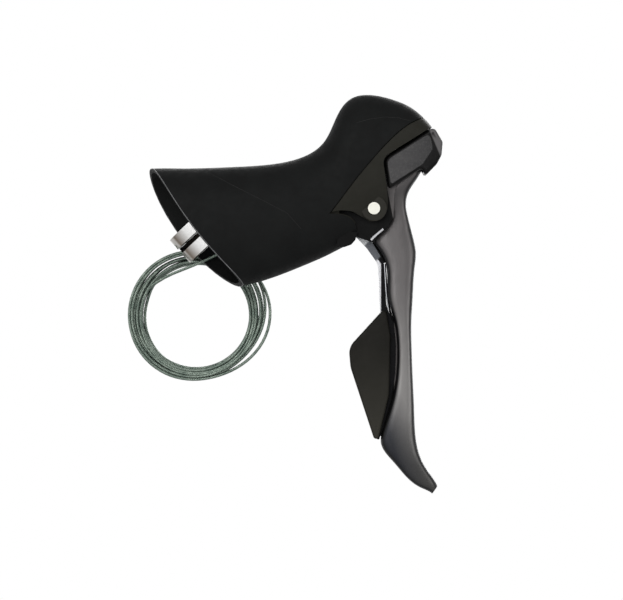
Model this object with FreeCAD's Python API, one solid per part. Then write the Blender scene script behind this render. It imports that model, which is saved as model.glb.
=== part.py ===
"""Right-hand road brake shift lever: a bracket that clamps to a drop bar, a rubber hood,
a brake lever unit that turns on a cross axle, and a shift unit inside that lever unit.

Units are millimetres. The origin is on the handlebar's axis at the middle of the clamp band.
+X is forward, +Y is to the rider's left (towards the bike), +Z is up.
"""
import FreeCAD
import Part
import math
import os

Vec = FreeCAD.Vector

# Handlebar clamp
BAR_RADIUS = 12.0
BAR_ANGLE = 48.0            # how steeply the bar runs down and forward through the clamp, in degrees
BAND_WIDTH = 12.0
BAND_THICKNESS = 1.0
BAND_SLOT_WIDTH = 2.4
BAND_CORNER = 5.0           # rounding of the legs' ends
BAND_SLOT_END = 4.0         # solid strip left between the slot and the nut's holes
BAND_END = 1.4              # and beyond the nut's holes
SADDLE_CLEARANCE = 0.3
NUT_DISTANCE = 17.5         # from the bar's axis to the clamp nut's axis
NUT_RADIUS = 3.5
NUT_PIN_RADIUS = 2.4
CLAMP_BOLT_RADIUS = 2.5
CLAMP_BOLT_LENGTH = 11.0
CLAMP_HEAD_RADIUS = 4.2
CLAMP_HEAD_HEIGHT = 4.0
CLAMP_HEAD_SEAT = 25.0      # from the bar's axis to the underside of the bolt's head
HEX_KEY = 5.0
HEX_DEPTH = 2.6
FIT_CLEARANCE = 0.2         # round pieces that stand still in their holes

# Hood and bracket
HOOD_WALL = 1.7
HOOD_GAP = 0.15             # between the rubber and the bracket under it
RIM_BULGE = 4.0             # how far the hood's rear rim swells round the bar
RIM_TWIST = 11.0            # the rim reaches further back on the inner side, in degrees
RIM_TOP = Vec(-19.0, 0, 24.6)
RIM_BOTTOM = Vec(17.6, 0, -22.0)
EDGE_GAP = 0.35             # shadow line between the hood's front edge and the bracket's flange
BRACKET_REAR = 2.0          # bracket's rear edge, inward of the bar's axis
POCKET_OUTER = 9.4          # the lever pocket's wall on the outer side, from the middle
POCKET_INNER = 10.4         # and on the inner side, where the levers swing

# Lever axle and shift axle
PIVOT = Vec(67.8, 0, 8.4)
AXLE_RADIUS = 2.4
AXLE_LENGTH = 27.6
EAR_RADIUS = 5.4
RUNNING_CLEARANCE = 0.05
SHIFT_ORIGIN = Vec(82.4, 0, 28.0)
SHIFT_ANGLE = 34.5          # the shift axle points forward and up by this, in degrees
SHIFT_AXLE_RADIUS = 2.2
MOVING_CLEARANCE = 0.3

# Grip form: each section has a top and a bottom point, as X and Z, a half width and a fullness
GRIP_SECTIONS = [
    ((-38.0, 24.3), (-8.0, -29.0), 17.6, 2.5),
    ((-22.0, 24.4), (7.0, -25.0), 17.9, 2.5),
    ((-8.0, 24.6), (18.5, -21.7), 18.2, 2.5),
    ((12.0, 25.2), (30.5, -18.0), 17.8, 2.45),
    ((28.0, 26.4), (41.0, -13.8), 16.8, 2.4),
    ((40.0, 29.4), (50.0, -9.8), 16.0, 2.35),
    ((48.3, 35.6), (57.5, -6.0), 15.5, 2.3),
    ((53.4, 46.0), (64.5, -3.0), 15.2, 2.3),
    ((58.6, 52.4), (71.0, 1.0), 14.9, 2.3),
    ((66.4, 54.0), (77.5, 7.0), 14.5, 2.3),
    ((77.0, 51.6), (83.5, 17.0), 13.9, 2.3),
    ((87.6, 45.0), (88.0, 28.0), 13.1, 2.4),
    ((93.6, 39.6), (91.5, 35.0), 11.6, 2.6),
]
SECTION_POINTS = 20

# Reach of cutting tools past the part, and how far a tool overshoots a face
BEYOND = 2 * max(abs(value) for section in GRIP_SECTIONS for point in section[:2] for value in point)
OVERSHOOT = 1.0

# Front edge of the hood, from the top of the horn down to the corner behind the pivot
HOOD_EDGE = [
    (91.4, 46.0), (87.3, 44.3), (84.1, 42.9), (74.6, 35.7),
    (67.0, 27.4), (60.0, 18.9), (55.5, 12.9), (50.2, 5.9),
]
TONGUE_EDGE = [HOOD_EDGE[-1], (55.0, 6.2), (59.6, 4.0), (61.4, 0.0), (60.8, -5.0)]

# Front edge of the bracket's cheeks: X, Z and a corner radius
CHEEK_FRONT = [(100.0, 46.6), (71.2, 28.5, 4.5), (72.7, 18.0, 8.0), (73.4, 12.0, 2.0)]
CHEEK_UNDER = [(66.6, 3.0, 4.0), (59.2, 7.3, 6.0), (54.5, 7.6, 6.0), (49.0, 6.6)]

# Rear and top of the lever pocket, and the corner of the room for the levers' swing on the inner side
POCKET_EDGE = [
    (57.8, -8.0), (55.4, -2.0), (52.0, 5.0), (51.0, 14.0),
    (58.0, 25.5), (69.0, 33.6), (74.0, 33.6), (77.0, 32.0),
]
SWING_CORNER = (54.6, 3.0)
BRIDGE_OUTLINE = [(48.0, 2.0), (54.0, 2.0), (54.0, 9.2), (48.0, 9.2)]  # closes the core under the cheeks' rear end

# Brake unit: pieces along the shift axle, as places along it from SHIFT_ORIGIN
SLEEVE_RADIUS = 3.5
CARRIER_PLATE = (-22.0, -19.8)
CARRIER_HALF_WIDTH = 4.6
CARRIER_OUTLINE = [         # the plate above its foot: left, up and a corner radius
    (4.6, -2.6, 1.0), (9.6, 2.0, 1.5), (9.8, 6.6, 2.0), (5.6, 10.2, 2.0), (-5.6, 10.2, 2.0), (-7.0, 0.0, 3.0),
    (-4.6, -3.0, 1.0),
]
CARRIER_WALL_OUTLINE = [    # the outer wall, which closes the pocket behind the cheek: X, Z and radius
    (53.4, 3.6, 2.0), (53.4, 9.2, 3.0), (63.6, 14.0, 4.0), (69.4, 19.2, 2.0), (77.2, 19.2, 1.0),
    (75.9, 14.0, 4.0), (75.6, 4.6, 2.5), (72.4, -0.6, 3.0), (63.0, -2.4, 3.0), (58.4, -0.6, 4.0),
]
CARRIER_WALL = 0.8
HOOK_CENTRE = (-24.4, 7.6)  # brake cable hook: along the shift axle and up from it
HOOK_RADIUS = 2.1
HOOK_HALF_WIDTH = 3.4
HOOK_SLOT_CLEARANCE = 0.3
LUG_THICKNESS = 1.4
FRONT_PLATE = (8.0, 9.6)
FRONT_PLATE_HEIGHT = (-2.6, 3.2)
FRONT_PLATE_CORNER = 2.0
FRONT_BUSH_RADIUS = 2.7
AXLE_HEAD_RADIUS = 2.9
AXLE_HEAD_HEIGHT = 1.0
AXLE_NUT = (-32.0, -29.5)
AXLE_NUT_FLATS = 6.5
SPRING_WIRE = 0.45          # radius of the return springs' wire
SPRING_TURNS = 3
BRAKE_SPRING_ROOM = 5.0

# Cable drum, ratchet and pawls
DRUM = (-19.4, -12.1)
DRUM_RADIUS = 6.2
DRUM_FLANGE = 1.0
RATCHET = (-12.1, -9.6)
RATCHET_RADIUS = 6.8
TOOTH_DEPTH = 1.2
TOOTH_COUNT = 20
DRUM_SPRING_RADIUS = 3.6
PAWL_PIVOT_RADIUS = 9.4     # from the shift axle to a pawl's pin
PAWL_PIN_RADIUS = 1.0
PAWL_BOSS_RADIUS = 1.9
PAWL_LEAD = 48.0            # from a pawl's pin on to its tooth, in degrees
PAWL_FACE = 2.5             # from the notch back to the tooth's face, in degrees
PAWL_NECK = 1.5             # half the pawl's thickness at its pin
PAWL_BACK = [(0.0, 2.3), (20.0, 3.3)]       # degrees behind the tooth's face, and height above its tip
PAWL_BELLY = [(22.0, 1.6), (9.0, 1.1)]
PAWL_HEEL = 8.0             # how far the pawl runs on behind its pin, in degrees
HOLDING_PAWL_TURN = 78.0    # where the holding pawl's tooth sits, from left towards up
WINDING_PAWL_TURN = 150.0

# Main lever and release lever
LEVER_HUB = (-9.2, 4.4)
LEVER_HUB_RADIUS = 3.4
LEVER_FLANGE = 1.2
LEVER_FLANGE_CORNER = 1.6
LEVER_FLANGE_WAIST = 0.8    # how far the flange stands out of the hub at the axle
LEVER_FLANGE_FOOT = 2.0     # and how far it runs down into the blade
RELEASE_HUB = (-29.2, -26.2)
RELEASE_HUB_RADIUS = 4.6
ARM_HALF_WIDTH = 2.0
ARM_FRONT = [               # its edges, from the hub down to the paddle's tip: X, Z and a corner radius
    (61.1, 13.4), (62.9, 9.0, 3.0), (62.9, 0.5, 5.0), (67.6, -5.6, 8.0), (71.8, -12.6, 6.0),
    (72.9, -30.0, 10.0), (75.9, -38.0, 12.0), (76.7, -46.0, 16.0), (76.4, -57.4, 16.0), (74.6, -68.0, 16.0),
    (70.0, -84.0, 0.5),
]
ARM_REAR = [
    (69.0, -83.4, 0.5), (72.0, -66.0, 16.0), (72.4, -44.0, 14.0), (70.4, -32.0, 20.0), (69.6, -13.6, 6.0),
    (65.0, -7.2, 8.0), (59.0, -1.0, 6.0), (58.0, 8.0, 3.0), (58.8, 11.8),
]
PADDLE_HALF_WIDTH = 4.2
PADDLE_ROUND = 1.1
PADDLE_OUTLINE = [
    (72.6, -30.8, 1.2), (57.9, -46.9, 7.0), (58.6, -55.0, 12.0), (69.0, -86.6, 1.2), (74.0, -66.0, 16.0),
    (74.6, -42.0, 10.0),
]

# Brake blade: each section has a front and a rear point, as X and Z, a half width and a fullness
BLADE_SECTIONS = [
    ((87.4, 26.0), (73.6, 16.2), 7.9, 4.0),
    ((85.4, 20.8), (72.6, 12.6), 7.6, 4.0),
    ((81.9, 15.4), (73.0, 9.8), 6.4, 4.0),
    ((80.8, 9.8), (74.2, 6.4), 5.6, 4.0),
    ((81.9, 3.8), (73.2, 2.4), 5.4, 4.0),
    ((83.4, -2.2), (67.9, -3.2), 5.7, 4.0),
    ((84.7, -8.6), (69.8, -7.8), 6.0, 4.0),
    ((84.3, -14.6), (72.6, -13.4), 6.2, 4.0),
    ((83.4, -28.0), (73.6, -27.0), 6.4, 4.0),
    ((82.9, -37.0), (76.0, -36.2), 6.4, 4.0),
    ((83.0, -46.0), (77.2, -46.0), 6.4, 4.0),
    ((83.4, -58.0), (76.9, -57.6), 6.3, 4.0),
    ((83.9, -69.0), (75.1, -68.0), 6.2, 4.0),
    ((84.2, -77.6), (72.0, -78.0), 6.0, 4.0),
    ((84.7, -83.6), (70.8, -85.4), 5.8, 4.0),
    ((86.4, -90.6), (75.8, -92.8), 5.4, 4.0),
    ((89.4, -96.2), (81.8, -99.6), 4.8, 4.0),
    ((92.0, -99.8), (87.0, -103.2), 4.0, 2.8),
    ((93.3, -102.4), (91.2, -105.4), 2.6, 2.4),
]

# Cover of the brake unit: its outline as X, Z and a corner radius, its half width and its wall
COVER_OUTLINE = [
    (71.6, 28.3, 4.1), (90.6, 40.2, 1.2), (92.2, 39.9, 1.4), (95.2, 34.8, 2.6), (94.7, 29.6, 3.5),
    (92.8, 26.0, 2.5), (88.4, 21.5, 0.8), (86.8, 24.3, 1.0), (73.5, 15.9, 1.0),
]
COVER_HALF_WIDTH = 11.8
COVER_ROUND = 1.4
COVER_WALL = 1.5
COVER_OPENING = [
    (60.0, 0.0), (60.0, 31.0), (74.2, 31.0), (75.2, 27.8), (87.6, 33.0), (88.6, 26.6), (86.8, 20.0),
]
PLATE_OUTLINE = [
    (72.8, 27.6, 3.2), (88.6, 37.6, 1.2), (90.2, 37.2, 1.6), (91.3, 32.0, 3.0), (87.2, 25.9, 2.5),
    (74.4, 17.8, 0.8),
]
PLATE_THICKNESS = 0.8
PLATE_STANDOFF = 0.4        # how far the name plate stands out of the cover

# Shift cable
CABLE_RADIUS = 0.6
COIL_CENTRE = Vec(-3.6, 21.2, -34.2)
COIL_INNER_RADIUS = 21.3
COIL_OUTER_RADIUS = 28.9
COIL_LEAN = Vec(2.0, 0, 1.2)                # the loosest turns stand off towards the front
COIL_DEPTH = 2.4            # half the bundle's depth
COIL_ROUND = 1.4
GUIDE_RADIUS = 1.4
GUIDE_START = (51.4, 8.2, 11.4)
GUIDE_OVERRUN = 9.0         # how far its bore runs on through the bracket's walls
LEAD_ROUTE = [(9.5, 12.8, -7.6), (-3.5, 13.6, -13.8), (-15.2, 17.2, -18.0), (-23.6, 20.8, -23.4)]


def direction(angle):
    """Unit vector in the lever's plane, at an angle in degrees from forward towards up."""
    return Vec(math.cos(math.radians(angle)), 0, math.sin(math.radians(angle)))


BAR_AXIS = direction(-BAR_ANGLE)
INWARD = direction(90 - BAR_ANGLE)     # from the bar's axis into the bracket
SHIFT_AXIS = direction(SHIFT_ANGLE)
SHIFT_UP = direction(SHIFT_ANGLE + 90)
LEFT = Vec(0, 1, 0)


def at_shift(along, up=0.0, left=0.0):
    """A point in the shift unit: along its axle, up from it in the lever's plane, and to the left."""
    return SHIFT_ORIGIN + SHIFT_AXIS * along + SHIFT_UP * up + LEFT * left


def at_bar(along, inward=0.0, left=0.0):
    """A point at the clamp: along the bar, inward to the bracket, and to the left."""
    return BAR_AXIS * along + INWARD * inward + LEFT * left


def shift_disc(span, radius):
    """A disc on the shift axle between two places along it."""
    return Part.makeCylinder(radius, span[1] - span[0], at_shift(span[0]), SHIFT_AXIS)


def widened(span):
    """A span that overshoots another at both ends."""
    return span[0] - OVERSHOOT, span[1] + OVERSHOOT


def shift_plate(corners, span):
    """A plate across the shift axle. Corners are left, up and radius."""
    wire = rounded_wire(corners, lambda left, up: at_shift(span[0], up, left))
    return Part.Face(wire).extrude(SHIFT_AXIS * (span[1] - span[0]))


def cross_rod(centre, radius, half_length):
    """A rod along Y through a point in the lever's plane."""
    return Part.makeCylinder(radius, 2 * half_length, centre - LEFT * half_length, LEFT)


def signed_power(value, power):
    return math.copysign(abs(value) ** power, value)


def oval(top, bottom, half_width, fullness, inset=0.0, shift=0.0):
    """A closed section in the plane of Y and the line from bottom to top, drawn in by inset."""
    high = Vec(top[0], 0, top[1])
    low = Vec(bottom[0], 0, bottom[1])
    upright = (high - low).normalize()
    half_height = (high - low).Length / 2 - inset
    centre = (high + low) / 2 + LEFT * shift
    points = []
    for i in range(SECTION_POINTS):
        turn = 2 * math.pi * i / SECTION_POINTS
        side = (half_width - inset) * signed_power(math.cos(turn), 2 / fullness)
        rise = half_height * signed_power(math.sin(turn), 2 / fullness)
        points.append(centre + LEFT * side + upright * rise)
    curve = Part.BSplineCurve()
    curve.interpolate(points, PeriodicFlag=True)
    return Part.Wire([curve.toShape()])


def grip_form(inset):
    """The whole grip form, from behind the clamp to the nose, drawn in by inset."""
    return Part.makeLoft([oval(*section, inset) for section in GRIP_SECTIONS], True, False)


def rounded_wire(corners, place):
    """A closed wire through corners (a, b) or (a, b, radius); place turns a and b into a point."""
    points = [place(*corner[:2]) for corner in corners]
    radii = [corner[2] if len(corner) == 3 else 0.0 for corner in corners]
    count = len(corners)
    edges = []
    last_end = None
    first_start = None
    for i in range(count):
        point = points[i]
        radius = radii[i]
        before = (points[i - 1] - point).normalize()
        after = (points[(i + 1) % count] - point).normalize()
        half_turn = before.getAngle(after) / 2
        start = end = point
        if radius > 0:
            back = radius / math.tan(half_turn)
            start = point + before * back
            end = point + after * back
            middle_way = (before + after).normalize()
            middle = point + middle_way * (radius / math.sin(half_turn) - radius)
        if last_end is None:
            first_start = start
        else:
            edges.append(Part.LineSegment(last_end, start).toShape())
        if radius > 0:
            edges.append(Part.Arc(start, middle, end).toShape())
        last_end = end
    edges.append(Part.LineSegment(last_end, first_start).toShape())
    return Part.Wire(edges)


def side_plate(corners, low=-BEYOND, high=BEYOND):
    """A plate of an outline in the lever's plane, from one Y to another. Corners are X, Z and radius."""
    wire = rounded_wire(corners, lambda x, z: Vec(x, low, z))
    return Part.Face(wire).extrude(LEFT * (high - low))


def spline_edge(points, y):
    curve = Part.BSplineCurve()
    curve.interpolate([Vec(x, y, z) for x, z in points])
    return curve.toShape()


def rim_cylinder():
    """The curved cut that ends the hood at the rear."""
    chord = RIM_BOTTOM - RIM_TOP
    radius = chord.Length ** 2 / (8 * RIM_BULGE) + RIM_BULGE / 2
    forward = Vec(-chord.z, 0, chord.x).normalize()
    middle = (RIM_TOP + RIM_BOTTOM) / 2
    axis = FreeCAD.Rotation(chord, -RIM_TWIST).multVec(LEFT)
    centre = middle + forward * (radius - RIM_BULGE)
    return Part.makeCylinder(radius, 4 * BEYOND, centre - axis * 2 * BEYOND, axis)


def region(edges, outline):
    """Everything inside a run of edges closed by straight lines through outline, as a thick plate."""
    border = [Vec(x, -BEYOND, z) for x, z in outline]
    lines = [Part.LineSegment(a, b).toShape() for a, b in zip(border, border[1:])]
    return Part.Face(Part.Wire(edges + lines)).extrude(LEFT * 2 * BEYOND)


def hood_region(shrink):
    """Everything behind the hood's front edge; shrink moves that edge back to leave a gap."""
    edge = [(x - shrink * 0.7, z + shrink * 0.7) for x, z in HOOD_EDGE]
    corner = edge[-1]
    lip = [corner] + [(x - shrink, z - shrink) for x, z in TONGUE_EDGE[1:]]
    below = [lip[-1], (lip[-1][0], -BEYOND), (-BEYOND, -BEYOND)]
    above = [(-BEYOND, BEYOND), (edge[0][0], BEYOND), edge[0]]
    return region([spline_edge(edge, -BEYOND), spline_edge(lip, -BEYOND)], below + above)


def pocket():
    """The space between the bracket's cheeks where the lever unit sits and turns."""
    outline = [(BEYOND, -BEYOND), (POCKET_EDGE[0][0], -BEYOND)] + POCKET_EDGE + [(BEYOND, POCKET_EDGE[-1][1])]
    x, z = SWING_CORNER
    swing_room = side_plate([(x, z), (BEYOND, z), (BEYOND, -BEYOND), (x, -BEYOND)], 0, BEYOND)
    return side_plate(outline, -POCKET_OUTER, POCKET_INNER).fuse(swing_room)


def hood():
    """Rubber cover: a skin over the bracket, open round the bar and in front of the pivot."""
    block = grip_form(0).common(rim_cylinder()).common(hood_region(EDGE_GAP))
    return block.cut(grip_form(HOOD_WALL)).cut(pocket())


def bar_block(along, inward, left):
    """A block at the clamp, from and to a place along each of its three directions."""
    corner = at_bar(along[0], inward[0], left[0])
    edges = [BAR_AXIS * (along[1] - along[0]), INWARD * (inward[1] - inward[0]), LEFT * (left[1] - left[0])]
    far = corner + edges[0] + edges[1]
    base = Part.makePolygon([corner, corner + edges[0], far, corner + edges[1], corner])
    return Part.Face(base).extrude(edges[2])


def guide_rod(radius, overshoot=0.0):
    """A rod along the shift cable's way through the bracket."""
    start, end = Vec(*GUIDE_START), Vec(*LEAD_ROUTE[0])
    way = (end - start).normalize()
    return Part.makeCylinder(radius, (end - start).Length + 2 * overshoot, start - way * overshoot, way)


def bracket_body():
    """Moulded bracket: a core under the hood and a flange of cheeks that shows in front of it."""
    behind_edge = hood_region(0)
    core = grip_form(HOOD_WALL + HOOD_GAP).common(behind_edge.fuse(side_plate(BRIDGE_OUTLINE)))
    ear = (PIVOT.x + EAR_RADIUS, PIVOT.z - EAR_RADIUS, EAR_RADIUS)
    above = [(CHEEK_UNDER[-1][0], BEYOND), (CHEEK_FRONT[0][0], BEYOND)]
    cheeks = side_plate(above + CHEEK_FRONT + [ear] + CHEEK_UNDER)
    flange = grip_form(0).common(cheeks).cut(behind_edge)
    body = core.fuse(flange).cut(pocket())
    reach = BEYOND * 2
    behind_bar = bar_block((-reach, reach), (-reach, BRACKET_REAR), (-reach, reach))
    saddle = Part.makeCylinder(BAR_RADIUS + SADDLE_CLEARANCE, 2 * reach, at_bar(-reach), BAR_AXIS)
    leg = BAND_WIDTH / 2 + MOVING_CLEARANCE
    tip = NUT_DISTANCE + NUT_RADIUS + MOVING_CLEARANCE
    inside = BAR_RADIUS - MOVING_CLEARANCE
    outside = BAR_RADIUS + BAND_THICKNESS + MOVING_CLEARANCE
    side = NUT_RADIUS + MOVING_CLEARANCE
    cuts = [
        behind_bar,
        saddle,
        bar_block((-leg, leg), (0, tip), (inside, outside)),
        bar_block((-leg, leg), (0, tip), (-outside, -inside)),
        bar_block((-side, side), (0, tip), (-outside, outside)),
        Part.makeCylinder(CLAMP_BOLT_RADIUS + FIT_CLEARANCE, CLAMP_HEAD_SEAT, Vec(0, 0, 0), INWARD),
        Part.makeCylinder(CLAMP_HEAD_RADIUS + FIT_CLEARANCE, BEYOND, at_bar(0, CLAMP_HEAD_SEAT), INWARD),
        cross_rod(PIVOT, AXLE_RADIUS + RUNNING_CLEARANCE, BEYOND),
        guide_rod(GUIDE_RADIUS + RUNNING_CLEARANCE, GUIDE_OVERRUN),
    ]
    for tool in cuts:
        body = body.cut(tool)
    return body


def clamp_band():
    """Slotted steel strap: half a turn round the bar and two legs that hold the clamp nut."""
    tip = NUT_DISTANCE + NUT_PIN_RADIUS + BAND_END
    half = BAND_WIDTH / 2

    def strap(low, high, end):
        def loop(radius):
            ends = [at_bar(low, end, -radius), at_bar(low, 0, -radius)]
            other = [at_bar(low, 0, radius), at_bar(low, end, radius)]
            return ends, at_bar(low, -radius), other
        outer_in, outer_far, outer_out = loop(BAR_RADIUS + BAND_THICKNESS)
        inner_in, inner_far, inner_out = loop(BAR_RADIUS)
        edges = [
            Part.LineSegment(*outer_in).toShape(),
            Part.Arc(outer_in[1], outer_far, outer_out[0]).toShape(),
            Part.LineSegment(*outer_out).toShape(),
            Part.LineSegment(outer_out[1], inner_out[1]).toShape(),
            Part.LineSegment(inner_out[1], inner_out[0]).toShape(),
            Part.Arc(inner_out[0], inner_far, inner_in[1]).toShape(),
            Part.LineSegment(inner_in[1], inner_in[0]).toShape(),
            Part.LineSegment(inner_in[0], outer_in[0]).toShape(),
        ]
        return Part.Face(Part.Wire(edges)).extrude(BAR_AXIS * (high - low))

    slot_end = NUT_DISTANCE - NUT_PIN_RADIUS - BAND_SLOT_END
    reach = BAR_RADIUS + BAND_THICKNESS + OVERSHOOT
    slot = bar_block((-BAND_SLOT_WIDTH / 2, BAND_SLOT_WIDTH / 2), (-reach, slot_end), (-reach, reach))
    holes = cross_rod(at_bar(0, NUT_DISTANCE), NUT_PIN_RADIUS + RUNNING_CLEARANCE, reach)
    blunt = rounded_wire(
        [(-half, -reach, 0.0), (half, -reach, 0.0), (half, tip, BAND_CORNER), (-half, tip, BAND_CORNER)],
        lambda along, inward: at_bar(along, inward, -reach))
    rounded = Part.Face(blunt).extrude(LEFT * 2 * reach)
    return strap(-half, half, tip).common(rounded).cut(slot).cut(holes)


def clamp_nut():
    """Cross nut whose end pins hang in the band's legs."""
    body = cross_rod(at_bar(0, NUT_DISTANCE), NUT_RADIUS, BAR_RADIUS - FIT_CLEARANCE)
    pins = cross_rod(at_bar(0, NUT_DISTANCE), NUT_PIN_RADIUS, BAR_RADIUS + BAND_THICKNESS)
    thread = Part.makeCylinder(CLAMP_BOLT_RADIUS + RUNNING_CLEARANCE, BEYOND, Vec(0, 0, 0), INWARD)
    return body.fuse(pins).cut(thread).removeSplitter()


def hex_prism(across_flats, height, base, axis):
    """A hexagonal prism along an axis."""
    side = axis.cross(LEFT)
    if side.Length < 0.5:
        side = axis.cross(Vec(0, 0, 1))
    side.normalize()
    other = axis.cross(side)
    radius = across_flats / math.sqrt(3)
    corners = []
    for i in range(7):
        turn = math.radians(60 * i)
        corners.append(base + side * radius * math.cos(turn) + other * radius * math.sin(turn))
    return Part.Face(Part.makePolygon(corners)).extrude(axis * height)


def clamp_bolt():
    """Socket-head bolt that draws the band tight from under the hood."""
    shank = Part.makeCylinder(
        CLAMP_BOLT_RADIUS, CLAMP_BOLT_LENGTH, at_bar(0, CLAMP_HEAD_SEAT - CLAMP_BOLT_LENGTH), INWARD)
    head = Part.makeCylinder(CLAMP_HEAD_RADIUS, CLAMP_HEAD_HEIGHT, at_bar(0, CLAMP_HEAD_SEAT), INWARD)
    socket_floor = CLAMP_HEAD_SEAT + CLAMP_HEAD_HEIGHT - HEX_DEPTH
    socket = hex_prism(HEX_KEY, CLAMP_HEAD_HEIGHT, at_bar(0, socket_floor), INWARD)
    return shank.fuse(head).cut(socket).removeSplitter()


def lever_axle():
    return cross_rod(PIVOT, AXLE_RADIUS, AXLE_LENGTH / 2)


def coil_spring(base, axis, height, mean_radius, turns=SPRING_TURNS):
    """A wound spring that starts at base and rises along axis."""
    helix = Part.makeHelix(height / turns, height, mean_radius)
    corners = []
    for i in range(7):
        turn = math.radians(60 * i)
        corners.append(Vec(mean_radius + SPRING_WIRE * math.cos(turn), 0, SPRING_WIRE * math.sin(turn)))
    spring = Part.Wire(helix).makePipeShell([Part.makePolygon(corners)], True, True)
    spring.Placement = FreeCAD.Placement(base, FreeCAD.Rotation(Vec(0, 0, 1), axis))
    return spring


def spring_round(core_radius):
    """Mean radius of a spring that lies loosely round a core."""
    return core_radius + SPRING_WIRE + MOVING_CLEARANCE


def shift_spring(span, mean_radius):
    """A spring round the shift axle that fills the room between two places along it."""
    room = SPRING_WIRE + RUNNING_CLEARANCE
    return coil_spring(at_shift(span[0] + room), SHIFT_AXIS, span[1] - span[0] - 2 * room, mean_radius)


def lever_carrier():
    """Sleeve on the lever axle with a plate that holds the shift axle, and lugs for the cable hook."""
    low = -POCKET_OUTER + MOVING_CLEARANCE
    high = POCKET_INNER - MOVING_CLEARANCE
    sleeve = Part.makeCylinder(SLEEVE_RADIUS, high - low, PIVOT + LEFT * low, LEFT)
    foot = (PIVOT - SHIFT_ORIGIN).dot(SHIFT_UP)
    feet = [(-CARRIER_HALF_WIDTH, foot), (CARRIER_HALF_WIDTH, foot)]
    plate = shift_plate(feet + CARRIER_OUTLINE, CARRIER_PLATE)
    wall = side_plate(CARRIER_WALL_OUTLINE, low, low + CARRIER_WALL)
    along, up = HOOK_CENTRE
    rim = HOOK_RADIUS
    corner = HOOK_RADIUS - HOOK_SLOT_CLEARANCE
    outline = [(CARRIER_PLATE[0], up - rim), (along - rim, up - rim, corner), (along - rim, up + rim, corner),
               (CARRIER_PLATE[0], up + rim)]
    body = sleeve.fuse(plate).fuse(wall)
    inside = HOOK_HALF_WIDTH + RUNNING_CLEARANCE
    for start in (inside, -inside - LUG_THICKNESS):
        wire = rounded_wire(outline, lambda s, u: at_shift(s, u, start))
        body = body.fuse(Part.Face(wire).extrude(LEFT * LUG_THICKNESS))
    hook_hole = cross_rod(at_shift(along, up), HOOK_RADIUS / 2 + RUNNING_CLEARANCE, BEYOND)
    body = body.cut(hook_hole).cut(cross_rod(PIVOT, AXLE_RADIUS + RUNNING_CLEARANCE, BEYOND))
    bore = shift_disc(widened(CARRIER_PLATE), SHIFT_AXLE_RADIUS + RUNNING_CLEARANCE)
    pin_hole = pawl_rod(HOLDING_PAWL_TURN, PAWL_PIN_RADIUS + RUNNING_CLEARANCE, CARRIER_PLATE)
    return body.cut(bore).cut(pin_hole).removeSplitter()


def brake_cable_hook():
    """Barrel that takes the brake cable's end, turning on pins in the carrier's lugs."""
    centre = at_shift(*HOOK_CENTRE)
    barrel = cross_rod(centre, HOOK_RADIUS, HOOK_HALF_WIDTH)
    pins = cross_rod(centre, HOOK_RADIUS / 2, HOOK_HALF_WIDTH + LUG_THICKNESS)
    half_slot = CABLE_RADIUS + HOOK_SLOT_CLEARANCE
    slot = Part.makeBox(6 * HOOK_RADIUS, 2 * half_slot, 2 * HOOK_RADIUS)
    slot.translate(centre - Vec(3 * HOOK_RADIUS, half_slot, HOOK_SLOT_CLEARANCE))
    return barrel.fuse(pins).cut(slot)


def polar(turn, radius):
    """Left and up for a place round the shift axle, turn in degrees from left towards up."""
    return radius * math.cos(math.radians(turn)), radius * math.sin(math.radians(turn))


def pawl_rod(tooth_turn, radius, span):
    """A rod along the shift axle's direction at the pin of the pawl whose tooth sits at tooth_turn."""
    left, up = polar(tooth_turn - PAWL_LEAD, PAWL_PIVOT_RADIUS)
    return Part.makeCylinder(radius, span[1] - span[0], at_shift(span[0], up, left), SHIFT_AXIS)


def ratchet_wheel():
    """Saw-toothed wheel: each tooth rises against the way the lever winds."""
    pitch = 360.0 / TOOTH_COUNT
    corners = []
    for i in range(TOOTH_COUNT):
        step = HOLDING_PAWL_TURN + pitch * i
        corners.append(polar(step, RATCHET_RADIUS - TOOTH_DEPTH))
        corners.append(polar(step, RATCHET_RADIUS))
    wheel = shift_plate(corners, RATCHET)
    return wheel.cut(shift_disc(widened(RATCHET), SHIFT_AXLE_RADIUS + RUNNING_CLEARANCE))


def cable_drum():
    """Grooved drum that winds the shift cable, hollow at the rear for its spring."""
    drum = shift_disc(DRUM, DRUM_RADIUS)
    groove_span = (DRUM[0] + DRUM_FLANGE, DRUM[1] - DRUM_FLANGE)
    groove_floor = shift_disc(groove_span, DRUM_RADIUS - 2 * CABLE_RADIUS)
    groove = shift_disc(groove_span, DRUM_RADIUS + OVERSHOOT).cut(groove_floor)
    hollow = shift_disc((DRUM[0] - OVERSHOOT, DRUM[1] - DRUM_FLANGE), DRUM_SPRING_RADIUS + 2 * SPRING_WIRE)
    bore = shift_disc(widened(DRUM), SHIFT_AXLE_RADIUS + RUNNING_CLEARANCE)
    return drum.cut(groove).cut(hollow).cut(bore)


def pawl(tooth_turn):
    """A pawl from its pin to a tooth that rests in the ratchet's notch at tooth_turn."""
    tip = RATCHET_RADIUS - TOOTH_DEPTH + MOVING_CLEARANCE
    face = tooth_turn - PAWL_FACE
    pin = tooth_turn - PAWL_LEAD
    heel = [(pin, PAWL_PIVOT_RADIUS + PAWL_NECK), (pin - PAWL_HEEL, PAWL_PIVOT_RADIUS),
            (pin, PAWL_PIVOT_RADIUS - PAWL_NECK)]
    back = [(face - turn, tip + height) for turn, height in PAWL_BACK]
    belly = [(face - turn, tip + height) for turn, height in PAWL_BELLY]
    arm = shift_plate([polar(*corner) for corner in [(face, tip)] + back + heel + belly], RATCHET)
    boss = pawl_rod(tooth_turn, PAWL_BOSS_RADIUS, RATCHET)
    hole = pawl_rod(tooth_turn, PAWL_PIN_RADIUS + RUNNING_CLEARANCE, RATCHET)
    return arm.fuse(boss).cut(hole).removeSplitter()


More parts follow.
